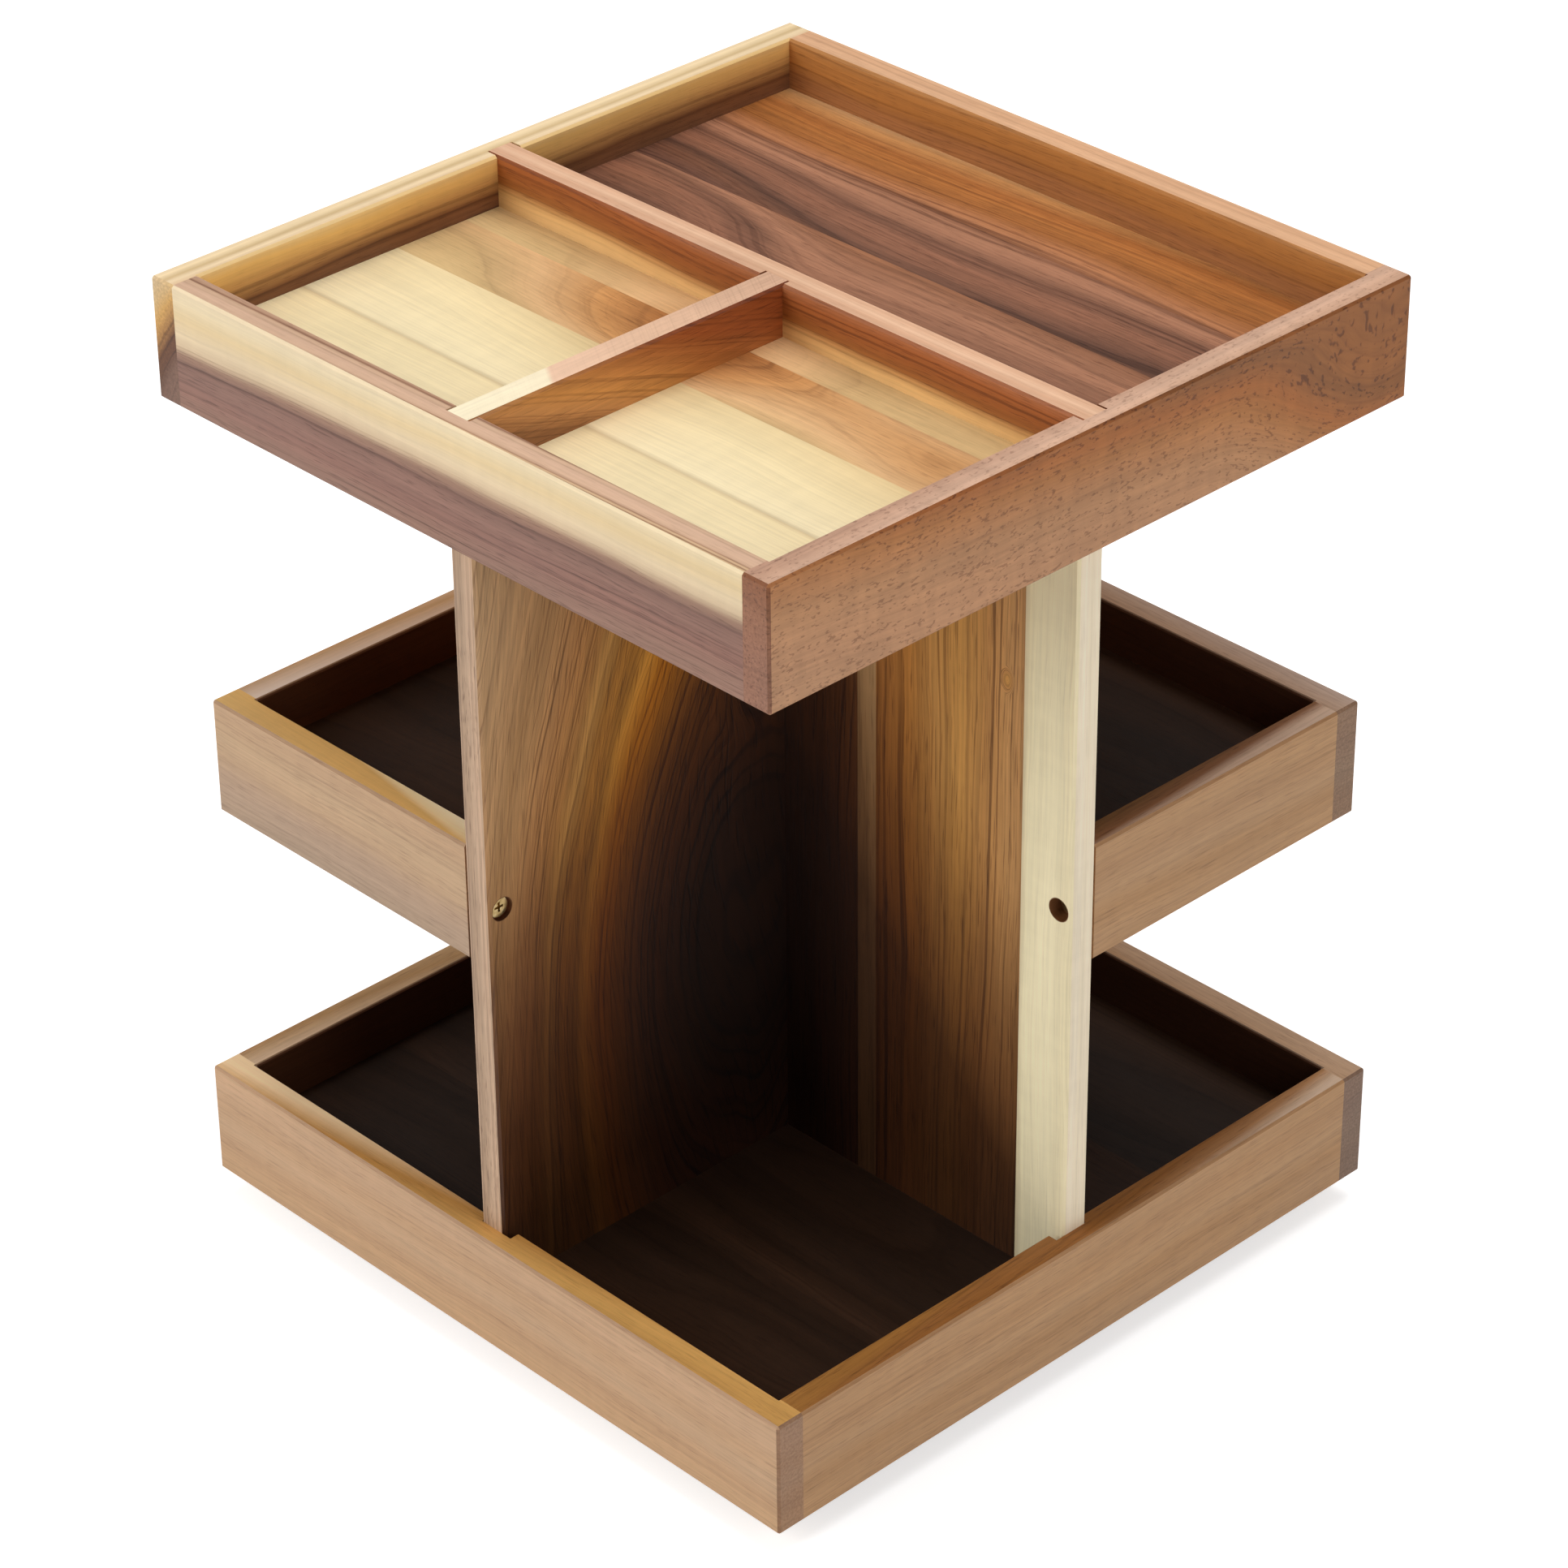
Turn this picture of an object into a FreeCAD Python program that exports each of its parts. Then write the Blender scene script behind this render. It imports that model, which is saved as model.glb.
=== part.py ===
import FreeCAD, Part
import math
import os

# A three-tier wooden display stand that turns on a ball bearing. Two boards cross on the vertical
# axis, halved into each other, and stand in housings of the bottom tray. They carry two quarter
# trays at mid height and a full tray on top. Millimetres, +Z up, origin on the table under the
# axis. Front is -Y, right is +X.

os.makedirs("parts", exist_ok=True)

# Trays. A rim is the height of a tray's upper edge, and the floor lies floor_depth below it, in a
# groove halfway up the walls. The bottom tray's floor is thicker and lies a little lower.
tray_side = 260.0
wall = 10.0
wall_height = 40.0
bottom_rim = 50.0
middle_rim = 186.0
top_rim = 330.0
floor_depth = 17.0
floor_thickness = 6.0
bottom_floor_depth = 19.0
bottom_floor_thickness = 8.0
groove_depth = 3.0
arris = 0.8

# Cross boards. The housings are wider than the boards, and each board lies against the side of
# its housing where the middle trays are screwed to it.
board = 10.0
board_overlap = 4.0
housing_width = 13.0
board_x_centre = 1.5
board_y_centre = -1.5

# Dividers of the top tray.
divider = 10.0
divider_housing = 4.5
divider_lap = 3.0
long_divider_y = 1.0
short_divider_x = 0.0

# Dowels of the tray corners.
dowel_radius = 2.5
dowel_in_side_grain = 7.0
dowel_in_end_grain = 17.0
dowel_heights = (7.0, 31.0)

# Screws: head radius, head height, shank radius, length.
middle_screw = (3.6, 2.3, 1.75, 30.0)
board_screw = (3.2, 2.2, 1.75, 30.0)
plate_screw = (3.5, 1.9, 1.75, 7.7)
point_length = 3.0
counterbore_radius = 3.8
counterbore_in_board_x = 4.5
counterbore_in_board_y = 1.5
foot_screw_reach = 100.0
head_screw_reach = 90.0

# Base disc and feet.
foot_height = 3.0
foot_radius = 9.0
foot_reach = 88.0
disc_radius = 110.0
disc_thickness = 12.0
disc_bevel = 1.5
foot_bevel = 0.8
access_hole_radius = 6.0

# Turntable bearing: two pressed plates, each with a race that wraps one side of the balls. Angles
# are measured round a ball, from the level of its centre.
plate_side = 152.0
plate_corner = 8.0
plate_thickness = 1.2
plate_screw_inset = 10.0
bearing_height = 8.0
ball_radius = 2.38
ball_count = 36
ball_pole_angle = 35.0
ball_circle = 56.0
race_clearance = 0.4
race_thickness = 1.0
race_root_angle = 68.0
race_lip_angle = 42.0
race_bends = 2
lower_plate_hole_radius = 52.0

# Worked out from the dimensions above.
half = tray_side / 2
inside = half - wall
panel_half = inside + groove_depth
board_half = inside + board_overlap
middle_inside = board_half - wall
middle_panel = middle_inside + groove_depth
disc_top = foot_height + disc_thickness
bearing_top = disc_top + bearing_height
ball_height = disc_top + bearing_height / 2
race_radius = ball_radius + race_clearance
plate_screw_reach = (plate_side / 2 - plate_screw_inset) * math.sqrt(2)
bottom_floor_top = bottom_rim - bottom_floor_depth
middle_floor_top = middle_rim - floor_depth
top_floor_top = top_rim - floor_depth
board_foot = bottom_floor_top
board_head = top_floor_top - floor_thickness
halving_height = (board_foot + board_head) / 2
board_x_faces = (board_x_centre - board / 2, board_x_centre + board / 2)
board_y_faces = (board_y_centre - board / 2, board_y_centre + board / 2)

near = 0.1
axis_foot = FreeCAD.Vector(0, 0, 0)
up = FreeCAD.Vector(0, 0, 1)
down = FreeCAD.Vector(0, 0, -1)
quarter_turns = {"front": 0, "right": 90, "back": 180, "left": 270}


def save(node, shape):
    shape.exportStep("parts/" + node + ".step")


def block(x, y, z):
    """A box between two limits on each axis, given in either order."""
    corner = FreeCAD.Vector(min(x), min(y), min(z))
    return Part.makeBox(abs(x[1] - x[0]), abs(y[1] - y[0]), abs(z[1] - z[0]), corner)


def rod(radius, start, end):
    """A round bar between two points."""
    run = end - start
    return Part.makeCylinder(radius, run.Length, start, run)


def turned(shape, angle):
    """The shape turned about the stand's axis."""
    copy = shape.copy()
    copy.rotate(axis_foot, up, angle)
    return copy


def pointed(shape, place, direction):
    """A shape made along +Z, set at a place and pointed along a direction."""
    copy = shape.copy()
    copy.Placement = FreeCAD.Placement(place, FreeCAD.Rotation(up, direction))
    return copy


def without(shape, tools):
    """The shape with every tool cut out of it."""
    for tool in tools:
        shape = shape.cut(tool)
    return shape


def sanded(shape, chosen):
    """The shape with a narrow flat sanded on its chosen edges."""
    return shape.makeChamfer(arris, [edge for edge in shape.Edges if chosen(edge.CenterOfMass)])


def eight_sided(sections):
    """A small round piece with eight flat sides, from (radius, height) sections going up."""
    rings = []
    for radius, height in sections:
        angles = [math.radians(45 * corner) for corner in range(8)]
        rings.append([FreeCAD.Vector(radius * math.cos(angle), radius * math.sin(angle), height)
                      for angle in angles])
    outlines = [rings[0], rings[-1]]
    for low, high in zip(rings, rings[1:]):
        outlines += [[low[side - 1], low[side], high[side], high[side - 1]] for side in range(8)]
    faces = [Part.Face(Part.makePolygon(outline + outline[:1])) for outline in outlines]
    solid = Part.makeSolid(Part.makeShell(faces))
    return solid if solid.Volume > 0 else solid.reversed()


def around(reach, first_angle):
    """Four places round the axis, a quarter turn apart."""
    angles = [math.radians(first_angle + turn) for turn in quarter_turns.values()]
    return [(reach * math.cos(angle), reach * math.sin(angle)) for angle in angles]


def board_ends(reach):
    """The middle of each arm's thickness, at a distance from the axis."""
    return {
        "front": (board_y_centre, -reach),
        "right": (reach, board_x_centre),
        "back": (board_y_centre, reach),
        "left": (-reach, board_x_centre),
    }


# Screws. The holes in the wood are cut with the screws themselves.
def countersunk_screw(size):
    """Points along +Z, with the flat of its head at the origin."""
    head_radius, head_height, shank_radius, length = size
    return eight_sided([
        (head_radius, 0), (shank_radius, head_height),
        (shank_radius, length - point_length), (shank_radius / 4, length),
    ])


def pan_head_screw(size):
    """Points along +Z, with its tapered head below the origin."""
    head_radius, head_height, shank_radius, length = size
    return eight_sided([
        (head_radius * 0.75, -head_height), (head_radius, 0), (shank_radius, 0),
        (shank_radius, length - point_length), (shank_radius / 4, length),
    ])


def foot_screws():
    """Up through the bottom tray's floor into the foot of each arm."""
    screw = countersunk_screw(board_screw)
    return [pointed(screw, FreeCAD.Vector(x, y, bearing_top), up)
            for x, y in board_ends(foot_screw_reach).values()]


def head_screws():
    """Down through the top tray's floor into the three arms that lie under a divider."""
    screw = countersunk_screw(board_screw)
    ends = board_ends(head_screw_reach)
    return [pointed(screw, FreeCAD.Vector(*ends[arm], top_floor_top), down)
            for arm in ("front", "right", "left")]


def upper_plate_screws():
    """Up through the corners of the upper plate into the bottom tray's floor."""
    screw = pan_head_screw(plate_screw)
    height = bearing_top - plate_thickness
    return [pointed(screw, FreeCAD.Vector(x, y, height), up)
            for x, y in around(plate_screw_reach, 45)]


def lower_plate_screws():
    """Down through the corners of the lower plate into the base disc."""
    screw = pan_head_screw(plate_screw)
    height = disc_top + plate_thickness
    return [pointed(screw, FreeCAD.Vector(x, y, height), down)
            for x, y in around(plate_screw_reach, 0)]


def middle_screw_seats():
    """Where each middle tray's wall is screwed on: mouth of the hole, direction and depth."""
    x_low, x_high = board_y_faces
    y_low, y_high = board_x_faces
    reach = board_half - wall / 2
    height = middle_rim - wall_height / 2
    shallow = counterbore_in_board_y
    deep = counterbore_in_board_x
    return [
        (FreeCAD.Vector(x_high, -reach, height), FreeCAD.Vector(-1, 0, 0), shallow),
        (FreeCAD.Vector(-reach, y_high, height), FreeCAD.Vector(0, -1, 0), deep),
        (FreeCAD.Vector(x_low, reach, height), FreeCAD.Vector(1, 0, 0), shallow),
        (FreeCAD.Vector(reach, y_low, height), FreeCAD.Vector(0, 1, 0), deep),
    ]


def middle_screws():
    """Through the cross boards into the end grain of the middle trays' walls."""
    screw = countersunk_screw(middle_screw)
    return [pointed(screw, mouth + direction * depth, direction)
            for mouth, direction, depth in middle_screw_seats()]


def middle_counterbores():
    return [rod(counterbore_radius, mouth, mouth + direction * depth)
            for mouth, direction, depth in middle_screw_seats()]


# Base: the feet and the disc that stay still on the table.
def base_feet():
    foot = Part.makeCylinder(foot_radius, foot_height)
    under = [edge for edge in foot.Edges if edge.CenterOfMass.z < near]
    foot = foot.makeChamfer(foot_bevel, under)
    return Part.makeCompound([pointed(foot, FreeCAD.Vector(x, y, 0), up)
                              for x, y in around(foot_reach, 0)])


def base_disc():
    """Its one hole lets a screwdriver reach the upper plate's screws, one after another."""
    disc = Part.makeCylinder(disc_radius, disc_thickness, FreeCAD.Vector(0, 0, foot_height))
    rims = [edge for edge in disc.Edges if isinstance(edge.Curve, Part.Circle)]
    disc = disc.makeChamfer(disc_bevel, rims)
    x, y = around(plate_screw_reach, 45)[0]
    access = rod(access_hole_radius, FreeCAD.Vector(x, y, 0), FreeCAD.Vector(x, y, bearing_top))
    return without(disc, [access] + lower_plate_screws())


# Turntable bearing.
def race(side):
    """Side 1 hangs from the upper plate outside the balls, side -1 stands inside them.

    It is bent round the balls in straight steps, whose middles come nearest to them.
    """
    root = math.radians(side * race_root_angle)
    lip = math.radians(-side * race_lip_angle)
    back_radius = race_radius + race_thickness

    def at(radius, angle):
        return FreeCAD.Vector(ball_circle + side * radius * math.cos(angle), 0,
                              ball_height + radius * math.sin(angle))

    angles = [root + (lip - root) * bend / race_bends for bend in range(race_bends + 1)]
    outline = [at(race_radius, angle) for angle in angles]
    outline += [at(back_radius, angle) for angle in reversed(angles)]
    return Part.Face(Part.makePolygon(outline + outline[:1])).revolve(axis_foot, up, 360)


def pressed_plate(bottom, hole_radius):
    """A square of sheet steel with round corners and a round hole."""
    side = (-plate_side / 2, plate_side / 2)
    top = bottom + plate_thickness
    sheet = block(side, side, (bottom, top))
    corners = [edge for edge in sheet.Edges if bottom + near < edge.CenterOfMass.z < top - near]
    hole = rod(hole_radius, FreeCAD.Vector(0, 0, bottom), FreeCAD.Vector(0, 0, top))
    return sheet.makeFillet(plate_corner, corners).cut(hole)


def lower_plate():
    """Lies an eighth of a turn from the upper plate, so that its corners clear the access hole."""
    sheet = turned(pressed_plate(disc_top, lower_plate_hole_radius), 45)
    return without(sheet.fuse(race(-1)).removeSplitter(), lower_plate_screws())


def upper_plate():
    hole_radius = ball_circle + race_radius * math.cos(math.radians(race_root_angle))
    sheet = pressed_plate(bearing_top - plate_thickness, hole_radius)
    return without(sheet.fuse(race(1)).removeSplitter(), upper_plate_screws())


def balls():
    """Each is cut with eight sides and flat poles, inside the size of the real ball."""
    pole_radius = ball_radius * math.sin(math.radians(ball_pole_angle))
    pole_height = ball_radius * math.cos(math.radians(ball_pole_angle))
    sections = [(pole_radius, -pole_height), (ball_radius, 0), (pole_radius, pole_height)]
    ball = pointed(eight_sided(sections), FreeCAD.Vector(ball_circle, 0, ball_height), up)
    return Part.makeCompound([turned(ball, 360 * index / ball_count) for index in range(ball_count)])


# Full trays: the bottom one and the top one.
def tray_ring(rim):
    """The four walls of a full tray as one glued frame, sanded on every open arris."""
    side = (-half, half)
    opening = (-inside, inside)
    height = (rim - wall_height, rim)
    ring = block(side, side, height).cut(block(opening, opening, height))

    def open_arris(point):
        outer_corner = min(abs(point.x), abs(point.y)) > half - near
        return outer_corner or min(abs(point.z - level) for level in height) < near

    return sanded(ring, open_arris)


def tray_wall(through, rim, panel, housing, divider_centre):
    """One wall of a full tray, in the front wall's place.

    A through wall runs the whole side and shows its end grain at the corners, and the other walls
    fit between. It has a groove for the floor, a housing for the cross board, and one for a
    divider if it carries one. panel and housing are limits of height.
    """
    end = half if through else inside
    tray_under = rim - wall_height
    place = block((-end, end), (-half, -inside), (tray_under, rim))
    groove_end = min(end, panel_half)
    cuts = [
        block((-groove_end, groove_end), (-panel_half, -inside), panel),
        block((-housing_width / 2, housing_width / 2), (-board_half, -inside), housing),
    ]
    if divider_centre is not None:
        width = (divider_centre - divider / 2, divider_centre + divider / 2)
        cuts.append(block(width, (-inside - divider_housing, -inside), (panel[1], rim)))
    return without(tray_ring(rim).common(place), cuts)


def dowel(start, direction):
    length = dowel_in_side_grain + dowel_in_end_grain
    return pointed(eight_sided([(dowel_radius, 0), (dowel_radius, length)]), start, direction)


def tray_dowels(rim, turn):
    """Two dowels across each corner, from the through wall into the end of the wall beside it.

    They are made for through walls on the front and back, then turned to the tray's own.
    """
    dowels = []
    for x in (-half + wall / 2, half - wall / 2):
        for side in (-1, 1):
            for dowel_height in dowel_heights:
                z = rim - wall_height + dowel_height
                outer = FreeCAD.Vector(x, side * (inside + dowel_in_side_grain), z)
                dowels.append(dowel(outer, FreeCAD.Vector(0, -side, 0)))
    return turned(Part.makeCompound(dowels), turn)


def full_tray(name, rim, panel, through, housing, divider_centres, floor_screws):
    """panel is the floor's underside and top, and through names the walls that run the whole side."""
    panel_side = (-panel_half, panel_half)
    save(name + "_floor", without(block(panel_side, panel_side, panel), floor_screws))
    dowels = tray_dowels(rim, quarter_turns[through[0]])
    for side, turn in quarter_turns.items():
        solid = tray_wall(side in through, rim, panel, housing, divider_centres.get(side))
        save(name + "_" + side + "_wall", without(turned(solid, turn), dowels.Solids))
    save(name + "_dowels", dowels)


def bottom_tray():
    panel = (bottom_floor_top - bottom_floor_thickness, bottom_floor_top)
    housing = (board_foot, bottom_rim)
    screws = foot_screws() + upper_plate_screws()
    full_tray("bottom_tray", bottom_rim, panel, ("front", "back"), housing, {}, screws)


def top_tray():
    panel = (board_head, top_floor_top)
    housing = (top_rim - wall_height, board_head)
    centres = {"front": short_divider_x, "right": long_divider_y, "left": -long_divider_y}
    full_tray("top_tray", top_rim, panel, ("right", "left"), housing, centres, head_screws())


# Cross boards.
def cross_board(faces, other_faces, notch, floor_grooves):
    """A board along X, between two limits of Y. It is notched to let the other board through."""
    height = (board_foot, board_head)

    def outer_arris(point):
        return abs(point.x) > board_half - near and abs(point.z - halving_height) < near

    plain = sanded(block((-board_half, board_half), faces, height), outer_arris)
    return without(plain, [block(other_faces, faces, notch)] + floor_grooves)


def cross_boards():
    """Each board's grooves hold the inner edges of the middle trays' floors."""
    x_low, x_high = board_y_faces
    y_low, y_high = board_x_faces
    groove = (middle_floor_top - floor_thickness, middle_floor_top)
    board_x = cross_board(board_x_faces, board_y_faces, (halving_height, board_head), [
        block((-middle_panel, x_low + groove_depth), (y_low, y_low + groove_depth), groove),
        block((x_high - groove_depth, middle_panel), (y_high - groove_depth, y_high), groove),
    ])
    turned_faces = (-x_high, -x_low)
    board_y = turned(cross_board(turned_faces, board_x_faces, (board_foot, halving_height), [
        block((-middle_panel, y_low), (-x_low - groove_depth, -x_low), groove),
        block((y_high, middle_panel), (-x_high, -x_high + groove_depth), groove),
    ]), 90)
    holes = foot_screws() + head_screws() + middle_screws() + middle_counterbores()
    save("cross_board_x", without(board_x, holes))
    save("cross_board_y", without(board_y, holes))


# Middle trays: one in the front left quarter, one in the back right quarter.
def middle_tray_frame(side, face_x, face_y):
    """The two walls as one glued corner, sanded on every open arris but not at the boards."""
    outer = side * board_half
    inner = side * middle_inside
    height = (middle_rim - wall_height, middle_rim)
    corner = block((face_x, outer), (face_y, outer), height)
    corner = corner.cut(block((face_x, inner), (face_y, inner), height))

    def open_arris(point):
        if min(abs(point.x - face_x), abs(point.y - face_y)) < near:
            return False
        outer_corner = min(abs(point.x), abs(point.y)) > board_half - near
        return outer_corner or min(abs(point.z - level) for level in height) < near

    return sanded(corner, open_arris)


def middle_tray(name, side, face_x, face_y, through_name, butted_name):
    """The quarter tray between two board faces. side is -1 or 1 on both axes."""
    outer = side * board_half
    inner = side * middle_inside
    panel = side * middle_panel
    tongue = side * groove_depth
    height = (middle_rim - wall_height, middle_rim)
    groove = (middle_floor_top - floor_thickness, middle_floor_top)
    floor = block((face_x - tongue, panel), (face_y - tongue, panel), groove)
    dowels = []
    for dowel_height in dowel_heights:
        x = (outer + inner) / 2
        z = height[0] + dowel_height
        start = FreeCAD.Vector(x, inner + side * dowel_in_side_grain, z)
        dowels.append(dowel(start, FreeCAD.Vector(0, -side, 0)))
    frame = without(middle_tray_frame(side, face_x, face_y), [floor] + dowels + middle_screws())
    save(name + "_floor", floor)
    save(name + through_name, frame.common(block((face_x, outer), (inner, outer), height)))
    save(name + butted_name, frame.common(block((inner, outer), (face_y, inner), height)))
    return dowels


def middle_trays():
    x_low, x_high = board_y_faces
    y_low, y_high = board_x_faces
    dowels = middle_tray("left_middle_tray", -1, x_low, y_low, "_front_wall", "_left_wall")
    dowels += middle_tray("right_middle_tray", 1, x_high, y_high, "_back_wall", "_right_wall")
    save("middle_tray_dowels", Part.makeCompound(dowels))


# Dividers of the top tray, let into its walls from above.
def dividers():
    height = (top_floor_top, top_rim)
    reach = inside + divider_housing
    long_y = (long_divider_y - divider / 2, long_divider_y + divider / 2)
    short_x = (short_divider_x - divider / 2, short_divider_x + divider / 2)
    short_y = (-reach, long_y[0] + divider_lap)

    def long_arris(point):
        return abs(point.z - top_rim) < near and min(abs(point.y - y) for y in long_y) < near

    def short_arris(point):
        return abs(point.z - top_rim) < near and min(abs(point.x - x) for x in short_x) < near

    long_board = sanded(block((-reach, reach), long_y, height), long_arris)
    short_board = sanded(block(short_x, short_y, height), short_arris)
    save("top_tray_long_divider", long_board.cut(block(short_x, short_y, height)))
    save("top_tray_short_divider", short_board)


save("base_feet", base_feet())
save("base_disc", base_disc())
save("turntable_lower_plate", lower_plate())
save("turntable_lower_screws", Part.makeCompound(lower_plate_screws()))
save("turntable_balls", balls())
save("turntable_upper_plate", upper_plate())
save("turntable_upper_screws", Part.makeCompound(upper_plate_screws()))
bottom_tray()
cross_boards()
save("cross_board_foot_screws", Part.makeCompound(foot_screws()))
save("cross_board_head_screws", Part.makeCompound(head_screws()))
middle_trays()
save("middle_tray_screws", Part.makeCompound(middle_screws()))
top_tray()
dividers()
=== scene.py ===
import bpy
import math
from mathutils import Matrix, Vector


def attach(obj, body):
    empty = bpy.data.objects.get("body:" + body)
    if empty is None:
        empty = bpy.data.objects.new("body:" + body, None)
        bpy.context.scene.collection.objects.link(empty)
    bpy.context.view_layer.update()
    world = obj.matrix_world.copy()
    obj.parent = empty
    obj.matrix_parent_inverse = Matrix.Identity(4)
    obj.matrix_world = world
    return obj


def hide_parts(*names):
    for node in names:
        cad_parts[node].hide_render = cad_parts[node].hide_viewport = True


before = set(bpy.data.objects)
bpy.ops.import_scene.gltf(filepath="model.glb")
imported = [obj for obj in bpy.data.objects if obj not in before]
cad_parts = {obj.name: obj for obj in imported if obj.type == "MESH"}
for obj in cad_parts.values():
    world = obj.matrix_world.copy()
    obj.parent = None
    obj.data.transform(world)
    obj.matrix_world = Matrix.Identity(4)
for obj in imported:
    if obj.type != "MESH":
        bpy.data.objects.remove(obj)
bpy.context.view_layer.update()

# The camera stands in front of the near corner and looks down on the stand. Its place and its
# long lens come from a fit to the corners of the three trays.
camera = bpy.data.objects.new("photo_camera", bpy.data.cameras.new("photo_camera"))
bpy.context.scene.collection.objects.link(camera)
camera.data.sensor_width = 36.0
camera.data.lens = 120.839
camera.data.clip_end = 20.0
camera_turn = Matrix.Rotation(math.radians(46.234), 4, "Z")
camera_tilt = Matrix.Rotation(math.radians(90.0 - 31.6619), 4, "X")
camera_roll = Matrix.Rotation(math.radians(-0.5739), 4, "Z")
camera_place = Matrix.Translation((0.997758, -0.956178, 1.008097))
camera.matrix_world = camera_place @ camera_turn @ camera_tilt @ camera_roll
bpy.context.scene.camera = camera


# The studio is a white floor in a white room. Two large softboxes stand to the left and the right
# of the camera, and a third hangs over the stand.
def feed(node, inputs):
    """Fills a node's inputs, each with a number, a colour or another node's output."""
    for name, value in inputs.items():
        if isinstance(value, bpy.types.NodeSocket):
            node.id_data.links.new(value, node.inputs[name])
        else:
            node.inputs[name].default_value = value


def shader_node(tree, kind, inputs=None, **settings):
    """A new shader node with its inputs and settings."""
    node = tree.nodes.new("ShaderNode" + kind)
    for name, value in settings.items():
        setattr(node, name, value)
    feed(node, inputs or {})
    return node


def combined(tree, operation, first, second=0.0):
    """One number out of two."""
    return shader_node(tree, "Math", {0: first, 1: second}, operation=operation).outputs["Value"]


stand_middle = Vector((0.0, 0.0, 0.17))


def softbox(name, place, width, power):
    """A square lamp that faces the middle of the stand."""
    lamp = bpy.data.lights.new(name, "AREA")
    lamp.shape = "SQUARE"
    lamp.size = width
    lamp.energy = power
    lamp.use_shadow = True
    holder = bpy.data.objects.new(name, lamp)
    bpy.context.scene.collection.objects.link(holder)
    holder.location = place
    aim = stand_middle - holder.location
    holder.rotation_euler = aim.to_track_quat("-Z", "Y").to_euler()


softbox("left_softbox", (-0.7, -1.7, 1.1), width=1.2, power=20.7)
softbox("right_softbox", (1.9, -0.3, 1.0), width=1.2, power=9.5)
softbox("top_softbox", (0.1, 0.3, 2.0), width=1.4, power=20.0)

# The floor glows a little for the camera, so that it is white but keeps the stand's shadow.
floor_colour = (0.82, 0.82, 0.82, 1.0)
floor_glow_strength = 0.6
white = (1.0, 1.0, 1.0, 1.0)
bpy.ops.object.select_all(action="DESELECT")
bpy.ops.mesh.primitive_plane_add(size=8.0, location=(0.0, 0.0, 0.0))
floor = bpy.context.object
floor.name = "studio_floor"
floor_paint = bpy.data.materials.new("white_floor_paint")
floor_paint.use_nodes = True
floor_tree = floor_paint.node_tree
floor_tree.nodes.clear()
floor_seen = shader_node(floor_tree, "LightPath")
floor_sight = combined(floor_tree, "MAXIMUM", floor_seen.outputs["Is Camera Ray"],
                       floor_seen.outputs["Is Glossy Ray"])
floor_matt = shader_node(floor_tree, "BsdfDiffuse", {"Color": floor_colour})
floor_glow = shader_node(floor_tree, "Emission", {
    "Color": white,
    "Strength": combined(floor_tree, "MULTIPLY", floor_sight, floor_glow_strength),
})
floor_sum = shader_node(floor_tree, "AddShader", {
    0: floor_matt.outputs[0],
    1: floor_glow.outputs[0],
})
shader_node(floor_tree, "OutputMaterial", {"Surface": floor_sum.outputs[0]})
floor.data.materials.append(floor_paint)

# The room is white behind the floor and gives the stand a weaker light of its own.
room_light_strength = 0.24
room_seen_strength = 1.0
room = bpy.data.worlds.new("white_room")
bpy.context.scene.world = room
room.use_nodes = True
room_tree = room.node_tree
room_tree.nodes.clear()
room_seen = shader_node(room_tree, "LightPath")
room_sight = combined(room_tree, "MAXIMUM", room_seen.outputs["Is Camera Ray"],
                      room_seen.outputs["Is Transmission Ray"])
room_level = shader_node(room_tree, "MapRange", {
    "Value": room_sight,
    "To Min": room_light_strength,
    "To Max": room_seen_strength,
})
room_light = shader_node(room_tree, "Background", {
    "Color": white,
    "Strength": room_level.outputs[0],
})
shader_node(room_tree, "OutputWorld", {"Surface": room_light.outputs[0]})
bpy.context.scene.view_settings.view_transform = "Standard"


# Four round feet of black rubber keep the base still and off the table. Each is held by a screw
# in a recess of its underside.
def seen_colour(red, green, blue):
    """A colour as a screen shows it, from 0 to 255, made linear for a shader."""
    shares = [value / 255 for value in (red, green, blue)]
    linear = [s / 12.92 if s <= 0.04045 else ((s + 0.055) / 1.055) ** 2.4 for s in shares]
    return (*linear, 1.0)


def new_material(name):
    """A material, its node tree, its surface and the node that gives the place on the object."""
    material = bpy.data.materials.new(name)
    material.use_nodes = True
    tree = material.node_tree
    return material, tree, tree.nodes["Principled BSDF"], shader_node(tree, "TexCoord")


def ramp(tree, level, stops, interpolation="LINEAR"):
    """Colours by a level from 0 to 1. Each stop is a level and its colour."""
    node = shader_node(tree, "ValToRGB", {"Fac": level})
    band = node.color_ramp
    band.interpolation = interpolation
    band.elements.remove(band.elements[1])
    band.elements[0].position, band.elements[0].color = stops[0]
    for position, colour in stops[1:]:
        band.elements.new(position).color = colour
    return node.outputs["Color"]


def choose(piece, kind, chosen):
    """Selects the faces or edges of a piece in edit mode by a test of their place."""
    bpy.ops.object.mode_set(mode="OBJECT")
    mesh = piece.data
    for group in (mesh.vertices, mesh.edges, mesh.polygons):
        group.foreach_set("select", [False] * len(group))
    if kind == "FACE":
        for face in mesh.polygons:
            face.select = chosen(face.center, face.normal)
    elif kind == "EDGE":
        for edge in mesh.edges:
            ends = [mesh.vertices[index].co for index in edge.vertices]
            edge.select = chosen(ends[0], ends[1])
    bpy.ops.object.mode_set(mode="EDIT")
    bpy.ops.mesh.select_mode(type=kind)


def looks_up(centre, normal):
    """Whether a face looks up."""
    return normal.z > 0.9


def looks_down(centre, normal):
    """Whether a face looks down."""
    return normal.z < -0.9


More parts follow.
